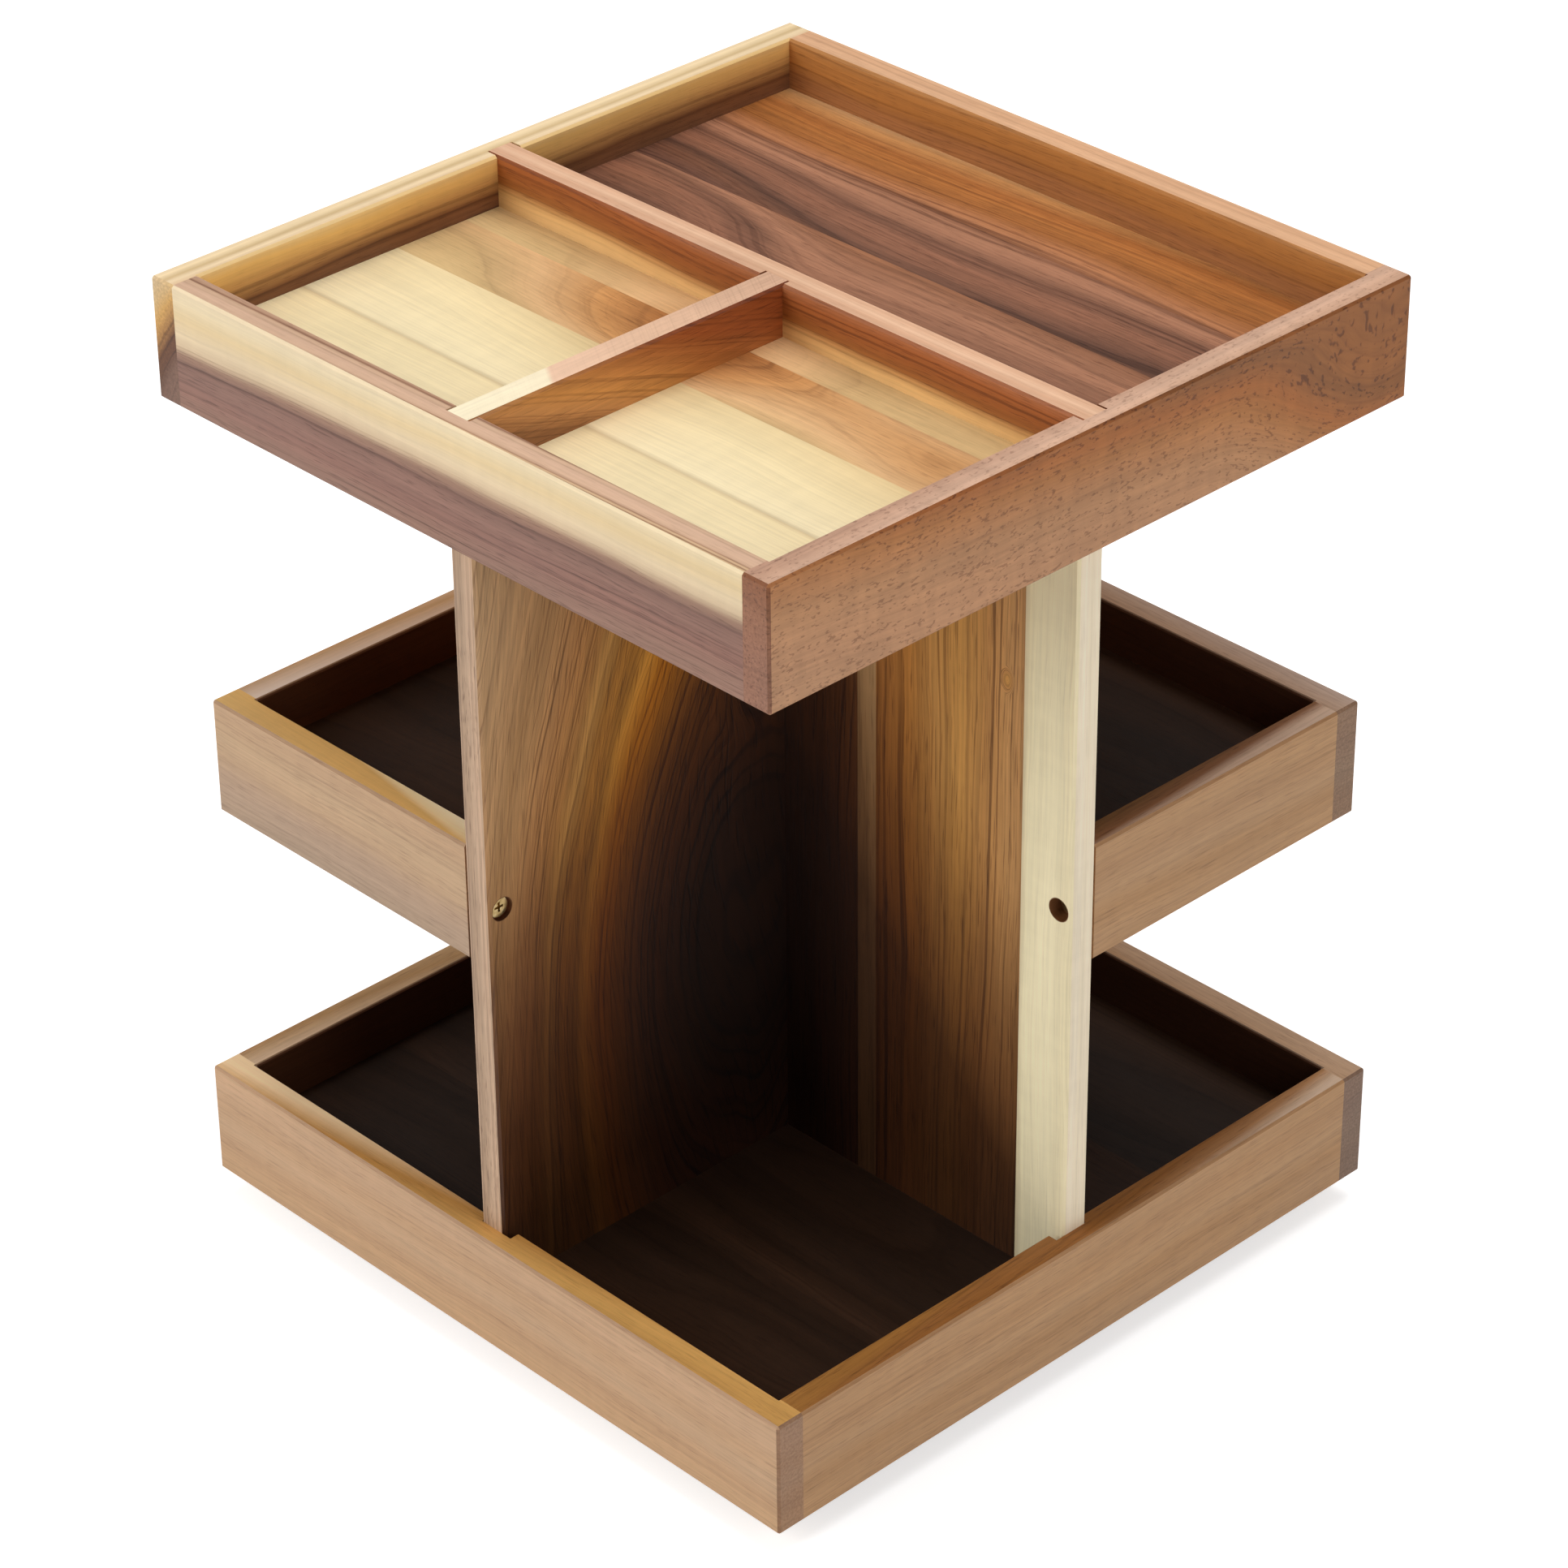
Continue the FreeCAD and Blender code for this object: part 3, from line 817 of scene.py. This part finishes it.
# These go level through the boards into the ends of the middle trays' walls. Their heads lie at
# the bottom of the boards' counterbores.
tray_screw_height = 0.166
tray_screw_reach = 0.119
tray_screw = screw_blank("tray_screw", head_radius=0.0034, head_height=0.0023,
                         shank_radius=0.0017, length=0.030, pan=False)
driven(tray_screw, [
    ((0.0020, -tray_screw_reach, tray_screw_height), (-1, 0, 0)),
    ((-tray_screw_reach, 0.0020, tray_screw_height), (0, -1, 0)),
    ((-0.0050, tray_screw_reach, tray_screw_height), (1, 0, 0)),
    ((tray_screw_reach, 0.0010, tray_screw_height), (0, 1, 0)),
], "middle_tray_wall_screws", "middle_tray_screws", "stand")
bpy.data.objects.remove(tray_screw)


# Bottom tray: the front and back walls run the whole side and the others fit between, dowelled
# and glued. A floor lies in a groove of all four. The floor's dark colour and the darkening of
# the walls' inner sides are painted shade.
# Dark floor colours that are painted shade for the insides of the lower trays.
shade_darkened_floor_growth = [(60.0, (40, 26, 18)), (90.0, (54, 34, 23)), (120.0, (66, 43, 29)),
                     (150.0, (46, 30, 20)), (180.0, (72, 48, 33))]
dress("bottom_tray_floor", timber(
    "shade_darkened_bottom_floor_wood", "X", "Y", (10.0, -90.0), shade_darkened_floor_growth, wander=7.0,
    streaks=0.15, staves=((-160.0, 0.0, 1.0), (-64.0, 24.0, 0.92), (-4.0, -16.0, 1.05),
                          (58.0, 12.0, 0.95))))
pale_wall_growth = [(136.0, (199, 159, 119)), (146.0, (203, 163, 123)), (152.0, (196, 156, 118)),
                    (159.0, (204, 167, 131)), (167.0, (198, 159, 122)), (174.0, (203, 165, 130)),
                    (182.0, (200, 162, 126))]
tan_wall_growth = [(136.0, (185, 141, 98)), (146.0, (191, 148, 105)), (153.0, (183, 139, 95)),
                   (160.0, (194, 152, 110)), (168.0, (187, 143, 100)), (175.0, (192, 149, 106)),
                   (182.0, (189, 145, 102))]
grey_wall_growth = [(136.0, (170, 142, 118)), (150.0, (164, 136, 112)), (160.0, (172, 146, 122)),
                    (170.0, (166, 138, 116)), (182.0, (172, 144, 120))]
bottom_rim = 50.0
pith_below_rim = 180.0
bottom_walls = {
    "front": ("X", -1, 0.010, pale_wall_growth, -0.10, [
        (-144.0, (206, 156, 88)), (-136.0, (216, 164, 93)), (-131.0, (230, 177, 102)),
        (-126.0, (218, 162, 90)), (-121.5, (204, 144, 72)), (-118.0, (226, 176, 120)),
        (-113.0, (255, 218, 170))]),
    "right": ("Y", 1, -0.008, tan_wall_growth, 0.10, [
        (105.0, (174, 122, 62)), (115.0, (164, 112, 54)), (120.0, (150, 98, 50)),
        (128.0, (144, 90, 38)), (133.0, (176, 124, 78)), (138.0, (216, 184, 156))]),
    "back": ("X", 1, 0.014, grey_wall_growth, 0.06, [
        (112.0, (190, 146, 104)), (121.0, (182, 134, 90)), (127.0, (194, 154, 120)),
        (138.0, (200, 164, 134))]),
    "left": ("Y", -1, 0.006, pale_wall_growth, -0.08, [
        (-136.0, (214, 178, 142)), (-126.0, (200, 158, 112)), (-120.0, (184, 140, 92)),
        (-112.0, (219, 184, 150))]),
}
for side, (grain, sign, lean, growth, edge_lean, edge) in bottom_walls.items():
    dress("bottom_tray_" + side + "_wall", timber(
        "bottom_" + side + "_wall_wood", grain, "Z",
        (bottom_rim - pith_below_rim, sign * 125.0), growth,
        lean=lean, edge=edge, edge_lean=edge_lean, streaks=0.045, lines=0.25, pores=0.4,
        end_tone=(0.93, 0.92, 0.93), painted_inner_shade=(sign * 120.0, 119.9)))
dowel_wood = timber("beech_dowel_wood", "Y", "Z", (0.0, 0.0),
                    [(0.0, (214, 176, 128)), (300.0, (222, 188, 142))], pores=0.3, lines=0.1,
                    arris=0.0)
dress("bottom_tray_dowels", dowel_wood)
dress("middle_tray_dowels", dowel_wood)
dress("top_tray_dowels", dowel_wood)

# The two cross boards stand on the bottom tray's floor, halved into each other, with the grain
# upright. Painted shade darkens their wood towards the foot and towards the axis, and painted
# light lifts the board along X a little above white high up and far out. The right arm has strips
# of pale sapwood.
# Where the middle tray screws go through the boards; their holes are darkened there as painted
# shade.
middle_screw_place = (166.0, 119.0)
# Tints of painted shade by height plus distance from the axis; those above white are painted light.
board_x_painted_shade = [(150.0, (97, 80, 70)), (182.0, (106, 88, 76)), (204.0, (149, 131, 118)),
                 (220.0, (168, 152, 138)), (240.0, (192, 180, 168)), (264.0, (228, 222, 214)),
                 (286.0, (255, 255, 255)), (330.0, (264, 264, 264)), (380.0, (280, 282, 286))]
board_y_painted_shade = [(95.0, (92, 76, 66)), (125.0, (102, 84, 74)), (154.0, (118, 98, 86)),
                 (185.0, (150, 130, 116)), (212.0, (186, 172, 160)), (240.0, (242, 238, 234)),
                 (262.0, (255, 255, 255))]
board_x_growth = [(74.0, (98, 60, 32)), (84.0, (120, 76, 40)), (92.0, (162, 106, 54)),
                  (99.0, (186, 124, 60)), (103.0, (190, 128, 60)), (110.0, (198, 144, 78)),
                  (116.0, (198, 145, 76)), (124.0, (184, 132, 74)), (131.0, (190, 141, 86)),
                  (140.0, (182, 134, 84)), (160.0, (206, 166, 118)), (176.0, (214, 180, 134)),
                  (184.0, (236, 214, 168)), (192.0, (250, 237, 196)), (200.0, (252, 239, 199)),
                  (207.0, (248, 233, 192)), (216.0, (250, 234, 196))]
dress("cross_board_x", timber(
    "cross_board_x_wood", "Z", "X", (0.0, -80.0), board_x_growth, wander=2.0, streaks=0.16,
    fibres=0.16, lines=0.8, pores=0.7, pore_length=14.0, pore_width=0.45,
    edge=[(-3.5, (246, 228, 196)), (-0.5, (254, 238, 210)), (2.0, (248, 231, 200)),
          (4.0, (254, 237, 208)), (6.5, (246, 228, 196))], edge_wander=0.5,
    staves=((-160.0, 0.0, 1.0), (-96.0, 12.0, 1.0), (-20.0, 0.0, 1.0), (34.5, 74.0, 1.0),
            (42.5, 8.0, 1.0), (103.5, 60.0, 1.0)),
    knots=((235.0, 97.0, 3.0, -16.0),), painted_shade_by_height=(1.2, board_x_painted_shade),
    painted_hole_shade=middle_screw_place))
board_y_growth = [(36.0, (86, 52, 24)), (48.0, (112, 68, 30)), (58.0, (134, 84, 34)),
                  (66.0, (158, 100, 30)), (75.0, (192, 120, 28)), (83.0, (206, 145, 58)),
                  (88.0, (176, 120, 48)), (96.0, (172, 118, 50)), (103.0, (198, 146, 78)),
                  (109.0, (176, 124, 66)), (121.0, (183, 131, 79)), (132.0, (196, 148, 96)),
                  (140.0, (182, 138, 90)), (148.0, (195, 151, 104)), (162.0, (200, 160, 116)),
                  (176.0, (206, 170, 128)), (190.0, (210, 176, 136))]
dress("cross_board_y", timber(
    "cross_board_y_wood", "Z", "Y", (-18.0, 62.0), board_y_growth, lean=-0.2, wander=3.5,
    streaks=0.18, fibres=0.16, lines=0.8, pores=0.7, pore_length=14.0, pore_width=0.45,
    edge=[(-6.5, (197, 164, 136)), (-3.5, (181, 150, 122)), (-0.5, (203, 170, 141)),
          (3.5, (193, 160, 131))], edge_wander=0.6,
    knots=((140.0, -45.0, 110.0, -45.0), (215.0, -16.0, 22.0, -14.0)),
    painted_shade_by_height=(0.6, board_y_painted_shade), painted_hole_shade=middle_screw_place))

# Each middle tray is two walls round a corner, with a floor that is also let into the cross
# boards. The floor is darkened with painted shade, and so are the walls' inner sides.
middle_rim = 186.0
left_front_growth = [(136.0, (174, 147, 122)), (148.0, (180, 151, 126)), (154.0, (183, 152, 125)),
                     (160.0, (194, 160, 126)), (167.0, (196, 163, 128)), (174.0, (191, 156, 122)),
                     (182.0, (196, 161, 127))]
middle_walls = {
    # The edge colours above white on this rim's inner side near the cross board are painted light.
    ("left", "front"): ("X", -1, 0.018, left_front_growth, 0.15, [
        (-142.0, (236, 190, 120)), (-130.0, (238, 188, 112)), (-125.0, (232, 184, 110)),
        (-122.5, (255, 226, 172)), (-118.0, (262, 244, 206))]),
    ("left", "left"): ("Y", -1, -0.010, pale_wall_growth, -0.06, [
        (-126.0, (228, 196, 164)), (-118.0, (206, 160, 112)), (-108.0, (240, 216, 198))]),
    ("right", "back"): ("X", 1, 0.012, grey_wall_growth, 0.06, [
        (110.0, (170, 126, 90)), (120.0, (186, 150, 122)), (132.0, (200, 174, 158))]),
    ("right", "right"): ("Y", 1, 0.008, tan_wall_growth, 0.06, [
        (113.0, (104, 70, 34)), (118.0, (112, 74, 38)), (122.5, (134, 88, 54)),
        (126.0, (206, 172, 146)), (132.0, (214, 184, 160))]),
}
for (tray, side), (grain, sign, lean, growth, edge_lean, edge) in middle_walls.items():
    dress(tray + "_middle_tray_" + side + "_wall", timber(
        tray + "_middle_" + side + "_wall_wood", grain, "Z",
        (middle_rim - pith_below_rim, sign * 119.0),
        growth, lean=lean, edge=edge, edge_lean=edge_lean, streaks=0.045, lines=0.25, pores=0.4,
        end_tone=(1.0, 0.97, 0.93), painted_inner_shade=(sign * 114.0, 113.9)))
for tray in ("left", "right"):
    dress(tray + "_middle_tray_floor", timber(
        "dark_" + tray + "_middle_floor_wood_shade_darkened", "X", "Y", (10.0, 30.0), shade_darkened_floor_growth,
        wander=7.0, streaks=0.15))

# The top tray's left and right walls run the whole side. Its floor is glued up from staves of
# very different colour, pale in front and dark along the middle of the large compartment, which
# is partly the wood's own colour and partly painted shadow.
top_floor_growth = [(80.0, (120, 78, 58)), (84.0, (96, 62, 47)), (88.0, (130, 85, 63)),
                    (92.0, (98, 64, 50)), (97.0, (126, 82, 60)), (102.0, (104, 69, 53)),
                    (107.0, (156, 104, 78)), (112.0, (130, 87, 66)), (117.0, (174, 121, 91)),
                    (122.0, (148, 98, 69)), (127.0, (178, 118, 78)), (132.0, (164, 101, 50)),
                    (137.0, (180, 113, 56)), (142.0, (166, 102, 50)), (148.0, (200, 144, 88)),
                    (154.0, (222, 178, 128)), (160.0, (208, 174, 122)), (166.0, (226, 196, 142)),
                    (174.0, (238, 213, 162)), (184.0, (245, 224, 176)), (200.0, (249, 232, 190))]
dress("top_tray_floor", timber(
    "top_floor_wood", "X", "Y", (0.0, 200.0), top_floor_growth, wander=2.2, streaks=0.14,
    fibres=0.14, lines=0.5, pores=0.45,
    staves=((-160.0, 44.0, 1.0), (-82.0, 60.0, 1.0), (-46.0, 44.0, 1.0), (-18.0, 52.0, 0.98),
            (5.0, -2.0, 1.0), (52.0, -24.0, 1.0), (88.0, -20.0, 1.0)),
    # The knot near the left wall and the long divider darkens that corner, partly as painted shade.
    knots=((-14.0, -28.0, 60.0, -17.0), (92.0, -40.0, 44.0, -12.0), (-110.0, 30.0, 60.0, -14.0),
           (-60.0, 150.0, 90.0, 12.0))))
dress("top_tray_front_wall", timber(
    "top_front_wall_wood", "X", "Z", (150.0, -125.0),
    [(130.0, (162, 126, 108)), (143.0, (153, 116, 99)), (150.0, (147, 106, 92)),
     (155.0, (147, 109, 95)), (158.8, (140, 103, 89)), (161.8, (162, 126, 104)),
     (164.5, (218, 191, 156)), (168.0, (238, 214, 176)), (173.0, (235, 208, 160)),
     (178.0, (240, 219, 180)), (183.0, (240, 218, 182))],
    lean=-0.0227, wander=1.4, streaks=0.07, lines=0.7, pores=0.4, edge_wander=0.35,
    edge_lean=-0.014, edge=[
        (-132.0, (215, 184, 146)), (-130.6, (209, 176, 136)), (-130.2, (150, 106, 78)),
        (-129.7, (212, 178, 140)), (-129.2, (205, 168, 132)), (-128.9, (158, 116, 88)),
        (-128.4, (212, 174, 144)), (-125.0, (214, 176, 148)), (-122.4, (208, 171, 140)),
        (-121.6, (142, 100, 76)), (-120.9, (186, 146, 118)), (-118.0, (210, 170, 142))]))
dress("top_tray_left_wall", timber(
    "top_left_wall_wood", "Y", "Z", (270.0, -65.0),
    [(58.0, (150, 118, 100)), (66.0, (140, 106, 88)), (69.5, (116, 76, 50)), (72.5, (124, 80, 47)),
     (75.7, (198, 148, 86)), (79.2, (236, 188, 110)), (82.0, (240, 206, 146)),
     (88.0, (242, 218, 174)), (96.0, (244, 220, 180))],
    lean=-0.006, wander=1.6, streaks=0.08, lines=0.5, pores=0.35, edge_wander=0.7,
    edge=[(-130.0, (236, 208, 168)), (-127.6, (247, 221, 178)), (-124.5, (214, 184, 136)),
          (-122.5, (242, 216, 176)), (-120.0, (230, 196, 154))]))
dress("top_tray_right_wall", timber(
    "top_right_wall_wood", "Y", "Z", (150.0, 125.0),
    [(120.0, (198, 150, 112)), (140.0, (194, 144, 106)), (150.0, (193, 142, 102)),
     (156.0, (192, 140, 98)), (163.0, (188, 130, 84)), (168.0, (184, 122, 70)),
     (174.0, (176, 108, 56)), (181.0, (148, 94, 50)), (186.0, (162, 102, 54)),
     (196.0, (156, 98, 52))],
    lean=0.11, wander=3.0, streaks=0.07, lines=0.2, pores=0.62, pore_length=1.9,
    pore_width=0.8, curl=0.05, end_tone=(0.88, 0.86, 0.93), knots=((115.0, 296.0, 44.0, 20.0),),
    edge_lean=0.03, edge_wander=0.7, edge=[
        (116.0, (186, 144, 120)), (121.0, (196, 154, 128)), (126.0, (208, 168, 142)),
        (127.6, (216, 174, 146)), (129.5, (206, 164, 136)), (134.0, (198, 156, 128))]))
dress("top_tray_back_wall", timber(
    "top_back_wall_wood", "X", "Z", (150.0, 125.0),
    [(138.0, (150, 100, 58)), (160.0, (164, 110, 64)), (167.0, (168, 112, 66)),
     (172.0, (182, 120, 59)), (177.0, (190, 128, 66)), (181.0, (204, 146, 86))],
    lean=0.006, wander=2.5, streaks=0.1, lines=0.5, pores=0.4,
    edge=[(119.0, (214, 164, 124)), (123.0, (227, 178, 138)), (127.0, (220, 170, 130)),
          (131.0, (228, 182, 142))]))
dress("top_tray_long_divider", timber(
    "long_divider_wood", "X", "Z", (200.0, 1.0),
    [(110.0, (236, 196, 136)), (116.5, (228, 184, 122)), (118.8, (200, 150, 92)),
     (120.5, (158, 98, 48)), (124.0, (156, 90, 43)), (128.0, (164, 94, 48)),
     (131.0, (180, 114, 74))],
    wander=2.2, streaks=0.08, lines=0.5, pores=0.4, edge_wander=0.8,
    edge=[(-4.5, (226, 180, 148)), (-1.0, (218, 170, 136)), (1.5, (234, 190, 156)),
          (4.0, (220, 172, 138)), (6.5, (230, 184, 150))]))
dress("top_tray_short_divider", timber(
    "short_divider_wood", "Y", "Z", (200.0, 0.0),
    [(78.0, (142, 94, 60)), (87.0, (152, 102, 62)), (93.0, (190, 134, 80)),
     (98.0, (206, 143, 76)), (106.0, (184, 118, 62)), (115.0, (156, 84, 41)),
     (126.0, (148, 76, 36))],
    lean=0.3, wander=2.0, streaks=0.1, fibres=0.1, lines=0.5, pores=0.4,
    edge_lean=1.6, edge_wander=0.8, edge=[
        (-210.0, (252, 238, 204)), (-146.0, (250, 234, 200)), (-143.0, (236, 196, 166)),
        (-80.0, (228, 186, 154)), (0.0, (218, 174, 144))]))
